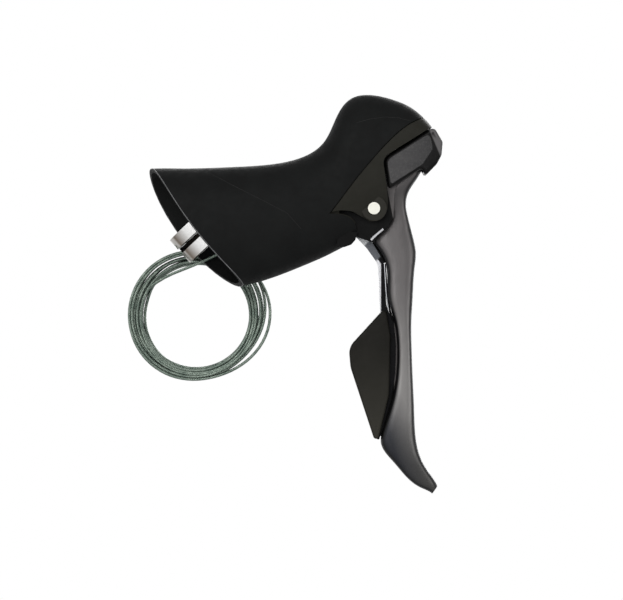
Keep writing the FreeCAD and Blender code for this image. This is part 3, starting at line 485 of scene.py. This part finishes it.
def cable_steel():
    """Twisted wire: the strands run round the cable as they go along it."""
    finish = Surface("cable_steel", (0.4, 0.47, 0.4), roughness=0.35, metallic=0.9)
    along = finish.node("ShaderNodeSeparateXYZ")
    finish.link(finish.place.outputs["UV"], along.inputs[0])
    lengthwise = finish.node("ShaderNodeMath", operation="MULTIPLY")
    lengthwise.inputs[1].default_value = CABLE_LENGTH / STRAND_PITCH * 2 * math.pi * STRANDS
    finish.link(along.outputs["X"], lengthwise.inputs[0])
    round_turn = finish.node("ShaderNodeMath", operation="MULTIPLY_ADD")
    round_turn.inputs[1].default_value = 2 * math.pi * STRANDS
    finish.link(along.outputs["Y"], round_turn.inputs[0])
    finish.link(lengthwise.outputs[0], round_turn.inputs[2])
    wave = finish.node("ShaderNodeMath", operation="SINE")
    finish.link(round_turn.outputs[0], wave.inputs[0])
    strand = finish.ramp(wave.outputs[0], 0.0, 1.0, -1.0, 1.0)
    drift = finish.mottle(250, (0.16, 0.21, 0.175))
    finish.paint(finish.mix(strand, (0.03, 0.042, 0.036), drift))
    finish.bump(strand, STRAND_DEPTH, 0.8)
    return finish.material


def floor_paper():
    """Pale paper, brighter to the eye and in reflections than in the light that it throws back."""
    finish = Surface("floor_paper", (0.68, 0.68, 0.68), roughness=0.7, specular=0.2)
    finish.mottle(8, (0.65, 0.65, 0.65))
    finish.shader.inputs["Emission Color"].default_value = (1, 1, 1, 1)
    glow = finish.ramp(looked_at(finish.tree), 0.0, FLOOR_GLOW, 0.0, 1.0)
    finish.link(glow, finish.shader.inputs["Emission Strength"])
    return finish.material


def smooth(piece, angle):
    """Shade a piece smoothly, with crisp edges where it bends by more than an angle in degrees."""
    piece.data.polygons.foreach_set("use_smooth", [True] * len(piece.data.polygons))
    split = piece.modifiers.new("crisp_edges", "EDGE_SPLIT")
    split.split_angle = math.radians(angle)


def dress(material, *names):
    """Give CAD nodes a finish and smooth shading with crisp edges."""
    for name in names:
        node = nodes[name]
        node.data.materials.clear()
        node.data.materials.append(material)
        weld = node.modifiers.new("weld", "WELD")
        weld.merge_threshold = WELD_DISTANCE
        smooth(node, NODE_CRISP)


def welded(node):
    """A CAD node's mesh in the frame, with its doubled points joined."""
    mesh = bmesh.new()
    mesh.from_mesh(node.data)
    mesh.transform(node.matrix_world)
    bmesh.ops.remove_doubles(mesh, verts=mesh.verts, dist=WELD_DISTANCE)
    return mesh


def skin_of(name):
    """A CAD node's surface, to find places on it."""
    mesh = welded(nodes[name])
    skin = BVHTree.FromBMesh(mesh)
    mesh.free()
    return skin


def add_piece(name, data, material, body, tilt=0.0):
    """A new piece that rides on a body, tilted about the X axis by an angle in degrees."""
    data.materials.append(material)
    piece = bpy.data.objects.new(name, data)
    piece.rotation_euler = (math.radians(tilt), 0, 0)
    bpy.context.scene.collection.objects.link(piece)
    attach(piece, body)
    return piece


def lay_points(curve, kind, places):
    """A spline of a curve, with its points at places in metres."""
    spline = curve.splines.new(kind)
    spline.points.add(len(places) - 1)
    for point, place in zip(spline.points, places):
        point.co = (*place, 1)
    return spline


def lay_smooth(curve, places):
    """A spline that starts at the first place, ends at the last and rounds the corners between them."""
    spline = lay_points(curve, "NURBS", places)
    spline.order_u = 3
    spline.use_endpoint_u = True


def add_bead(name, places, radius, material, body, closed=False):
    """A thin round bead through places."""
    curve = bpy.data.curves.new(name, "CURVE")
    curve.dimensions = "3D"
    curve.bevel_depth = radius
    curve.bevel_resolution = 2
    curve.use_fill_caps = True
    spline = lay_points(curve, "POLY", places)
    spline.use_cyclic_u = closed
    spline.use_smooth = True
    add_piece(name, curve, material, body)


def add_strip(name, shape, material, body):
    """A bent strip of sheet across the lever's plane."""
    route, half_width, thickness = shape
    curve = bpy.data.curves.new(name, "CURVE")
    curve.dimensions = "2D"
    curve.fill_mode = "NONE"
    curve.extrude = (half_width - thickness / 2) * MM
    curve.bevel_depth = thickness / 2 * MM
    curve.bevel_resolution = 1
    lay_smooth(curve, [(x * MM, z * MM, 0) for x, z in route])
    add_piece(name, curve, material, body, tilt=90.0)


def add_mesh(name, mesh, material, body):
    """A piece made from a finished mesh."""
    data = bpy.data.meshes.new(name)
    mesh.to_mesh(data)
    mesh.free()
    add_piece(name, data, material, body)


def add_plate(name, shape, material, body):
    """A flat plate along the lever's plane."""
    outline, (low, high) = shape
    mesh = bmesh.new()
    face = mesh.faces.new([mesh.verts.new((x * MM, low * MM, z * MM)) for x, z in outline])
    side = bmesh.ops.extrude_face_region(mesh, geom=[face])
    moved = [part for part in side["geom"] if isinstance(part, bmesh.types.BMVert)]
    bmesh.ops.translate(mesh, vec=(0, (high - low) * MM, 0), verts=moved)
    bmesh.ops.recalc_face_normals(mesh, faces=mesh.faces)
    add_mesh(name, mesh, material, body)


def coil_points():
    """The coil's turns: most lie side by side in a bundle, and a few fan out, mostly towards the front."""
    chance = random.Random(COIL_SEED)
    turns = []
    for i, row in enumerate(COIL_ROWS):
        lanes = COIL_LANES[::-1] if i % 2 else COIL_LANES
        for lane in lanes:
            turns.append((lane, row, chance.uniform(*SWAY_FORWARD), chance.uniform(*SWAY_UP)))
    widen = 1 / math.cos(math.pi / COIL_STEPS)
    points = []
    for i in range(int(COIL_TURNS * COIL_STEPS)):
        turn, step = divmod(i, COIL_STEPS)
        part = step / COIL_STEPS
        ease = part * part * (3 - 2 * part)
        radius, row, forward, up = (a + (b - a) * ease for a, b in zip(turns[turn], turns[turn + 1]))
        angle = math.radians(COIL_START) + 2 * math.pi * (turn + part)
        wider, fan = STRAY_TURNS.get(turn, (0.0, 0.0))
        reach = (radius + wider * max(0.0, math.cos(angle - math.radians(fan))) ** 2) * widen
        points.append((COIL_CENTRE[0] + forward + reach * math.cos(angle), COIL_CENTRE[1] + row,
                       COIL_CENTRE[2] + up + reach * math.sin(angle)))
    return points


def add_cable(material):
    """The shift cable: its lead out of the bracket, then its coil."""
    route = [Vector(place) * MM for place in LEAD_ROUTE + coil_points()]
    curve = bpy.data.curves.new("shift_cable", "CURVE")
    curve.dimensions = "3D"
    curve.bevel_depth = CABLE_DIAMETER / 2
    curve.bevel_resolution = 3
    curve.resolution_u = 3
    curve.use_fill_caps = True
    lay_smooth(curve, route)
    cable = add_piece("shift_cable", curve, material, "bracket")
    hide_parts("shift_cable_lead", "shift_cable_coil")


def sharp_loops(mesh, angle):
    """Runs of points along the edges that bend by more than an angle."""
    ways = {}
    for edge in mesh.edges:
        if len(edge.link_faces) == 2 and edge.calc_face_angle(0) > angle:
            for vert in edge.verts:
                ways.setdefault(vert, []).append(edge)
    used = set()
    loops = []
    for start in ways:
        run = [start]
        while True:
            onward = [edge for edge in ways[run[-1]] if edge not in used]
            if not onward:
                break
            used.add(onward[0])
            run.append(onward[0].other_vert(run[-1]))
        if len(run) > 2:
            loops.append([vert.co.copy() for vert in run])
    return loops


def run_length(points):
    return sum((b - a).length for a, b in zip(points, points[1:]))


def add_hood_lip(material):
    """A pale bead along the hood's rear lip: a painted highlight on its edge."""
    mesh = welded(nodes["hood"])
    loops = sharp_loops(mesh, math.radians(RIM_BEND))
    mesh.free()
    rear = [run for run in loops if max(point.x for point in run) < RIM_FRONT * MM]
    rim = max(rear, key=run_length)
    add_bead("hood_lip", rim[:-1:RIM_STRIDE], RIM_RADIUS, material, "bracket", closed=True)


def add_hood_lines(material):
    """The lines of the hood's mould, laid on it where the photograph shows them."""
    skin = skin_of("hood")
    eye = bpy.context.scene.camera.location
    for name, pixels in PARTING_LINES.items():
        line = []
        for (ax, ay), (bx, by) in zip(pixels, pixels[1:]):
            for i in range(LINE_STEPS):
                aim = pixel_point(ax + (bx - ax) * i / LINE_STEPS, ay + (by - ay) * i / LINE_STEPS)
                hit = skin.ray_cast(eye, (aim - eye).normalized())[0]
                if hit:
                    line.append(hit)
        add_bead(name, line, LINE_RADIUS, material, "bracket")


def add_pin_ring(material):
    """The line round the axle's end on the outer cheek."""
    skin = skin_of("bracket_body")
    ring = []
    for i in range(PIN_RING_STEPS):
        turn = 2 * math.pi * i / PIN_RING_STEPS
        forward = PIVOT[0] + PIN_RING_RADIUS * math.cos(turn)
        up = PIVOT[2] + PIN_RING_RADIUS * math.sin(turn)
        hit = skin.ray_cast(Vector((forward, OUTSIDE, up)) * MM, Vector(LEFT))[0]
        if hit:
            ring.append(hit)
    add_bead("pin_ring", ring, LINE_RADIUS, material, "bracket", closed=True)


def add_ear(material):
    """The outer cheek's rounded end round the axle."""
    outer, inner = EAR_FACES
    depth = (inner - outer) * MM
    bpy.ops.mesh.primitive_cylinder_add(vertices=EAR_SIDES, radius=EAR_RADIUS * MM, depth=depth)
    ear = bpy.context.object
    ear.name = "bracket_ear"
    ear.location = (PIVOT[0] * MM, (inner + outer) / 2 * MM, PIVOT[2] * MM)
    ear.rotation_euler = (math.radians(90), 0, 0)
    round_edges = ear.modifiers.new("round_edges", "BEVEL")
    round_edges.width = EAR_ROUND * MM
    round_edges.segments = 3
    round_edges.limit_method = "ANGLE"
    smooth(ear, PIECE_CRISP)
    ear.data.materials.append(material)
    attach(ear, "bracket")


def add_shade_plate(material):
    """A dark plate inside the cover's rear corner."""
    low, high = (Vector(corner) * MM for corner in SHADE_PLATE)
    bpy.ops.mesh.primitive_cube_add(size=1, location=(low + high) / 2)
    plate = bpy.context.object
    plate.name = "cover_shade"
    plate.scale = high - low
    plate.data.materials.append(material)
    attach(plate, "brake_unit")


def spine_route():
    """Places midway between the release arm and the blade, close to the lever's middle plane."""
    arm_skin = skin_of("release_arm")
    blade_skin = skin_of("main_lever")
    behind, ahead = SPINE_SEARCH
    top, bottom = SPINE_ENDS
    route = []
    for i in range(SPINE_POINTS):
        height = top + (bottom - top) * i / (SPINE_POINTS - 1)
        front = arm_skin.ray_cast(Vector((ahead, SPINE_SIDE, height)) * MM, -Vector(FORWARD))[0]
        rear = blade_skin.ray_cast(Vector((behind, SPINE_SIDE, height)) * MM, Vector(FORWARD))[0]
        route.append(((front.x + rear.x) / 2 / MM, height))
    return route


def add_band_web(material):
    """The strap's inner face on the far side, seen through the slot."""
    angle = math.radians(BAR_ANGLE)
    along = Vector((math.cos(angle), 0, -math.sin(angle)))
    inward = Vector((math.sin(angle), 0, math.cos(angle)))
    left = Vector(LEFT)
    path = [inward * BAND_LEG + left * BAND_RADIUS]
    for i in range(WEB_STEPS + 1):
        turn = math.radians(90 - 90 * i / WEB_STEPS)
        path.append((left * math.sin(turn) - inward * math.cos(turn)) * BAND_RADIUS)
    mesh = bmesh.new()
    rows = []
    for place in path:
        rows.append([mesh.verts.new((place + along * side * WEB_WIDTH / 2) * MM) for side in (-1, 1)])
    for (a, b), (c, d) in zip(rows, rows[1:]):
        mesh.faces.new((a, b, d, c))
    add_mesh("clamp_band_web", mesh, material, "bracket")


def add_floor(material):
    """The paper that the object's shadow falls on."""
    bpy.ops.mesh.primitive_plane_add(size=FLOOR_SIZE, location=FLOOR_PLACE)
    floor = bpy.context.object
    floor.name = "floor"
    floor.data.materials.append(material)


bpy.context.scene.view_settings.view_transform = "Standard"
add_camera()
add_world()
for name, setting in LAMPS.items():
    add_area_light(name, *setting)

# Finishes of the CAD nodes
resin = moulded_resin("bracket_resin", (0.0165, 0.016, 0.0125), (0.02, 0.0192, 0.0155))
cover = cover_resin()
cast = carrier_cast()
steel = metal("plated_steel", (0.55, 0.55, 0.56), (0.42, 0.42, 0.43), (0.22, 0.36))
pin_steel = metal("pin_steel", (0.74, 0.73, 0.65), (0.68, 0.67, 0.6), (0.35, 0.45), metallic=0.25)
brass = metal("brass_fitting", (0.62, 0.48, 0.22), (0.5, 0.38, 0.17), (0.25, 0.35))
spring_steel = metal("spring_steel", (0.3, 0.3, 0.31), (0.22, 0.22, 0.23), (0.3, 0.4))
drum_resin = metal("drum_resin", (0.06, 0.06, 0.06), (0.08, 0.08, 0.08), (0.4, 0.5), metallic=0.0)
dress(hood_rubber(), "hood")
dress(resin, "bracket_body")
dress(cover, "unit_cover")
dress(plate_gloss(), "name_plate")
dress(blade_alloy(), "main_lever")
dress(paddle_resin(), "release_paddle")
dress(band_steel(), "clamp_band")
dress(pin_steel, "lever_axle")
dress(cast, "lever_carrier")
dress(brass, "brake_cable_hook", "front_bush")
dress(spring_steel, "brake_return_spring", "drum_spring", "lever_return_spring", "release_spring")
dress(arm_steel(), "release_arm")
dress(drum_resin, "cable_drum")
dress(steel, "clamp_nut", "clamp_bolt", "shift_axle", "axle_nut", "front_plate", "ratchet_wheel",
      "holding_pawl", "holding_pawl_pin", "winding_pawl", "winding_pawl_pin", "cable_guide")

# Pieces made here
add_cable(cable_steel())
add_hood_lip(hood_edge_highlight())
add_hood_lines(hood_line())
add_pin_ring(resin)
add_ear(moulded_resin("ear_resin", (0.024, 0.023, 0.019), (0.028, 0.0265, 0.022)))
add_shade_plate(cover)
add_strip("cover_seam", COVER_SEAM, cover, "brake_unit")
# Metal for the bright strip in front of the arm, a painted reflection
arm_reflection_metal = metal("arm_reflection_metal", (0.52, 0.53, 0.55), (0.42, 0.43, 0.45), (0.25, 0.35))
# Metal for the plate at the blade's rear shoulder, a painted highlight
shoulder_highlight_metal = metal("shoulder_highlight_metal", (0.4, 0.4, 0.41), (0.2, 0.2, 0.21), (0.3, 0.4))
spine_shade = (spine_route(), SPINE_HALF_WIDTH, SPINE_THICKNESS)
add_strip("release_arm_reflection", ARM_REFLECTION_STRIP, arm_reflection_metal, "release_lever")
add_strip("arm_bend_shade", BEND_SHADE, cast, "release_lever")
add_strip("spine_shade", spine_shade, cast, "release_lever")
add_plate("hood_skirt", HOOD_SKIRT, cast, "bracket")
add_plate("carrier_skirt", CARRIER_SKIRT, cast, "brake_unit")
add_plate("blade_shoulder_highlight", SHOULDER_HIGHLIGHT, shoulder_highlight_metal, "brake_unit")
add_band_web(band_shade())
add_floor(floor_paper())
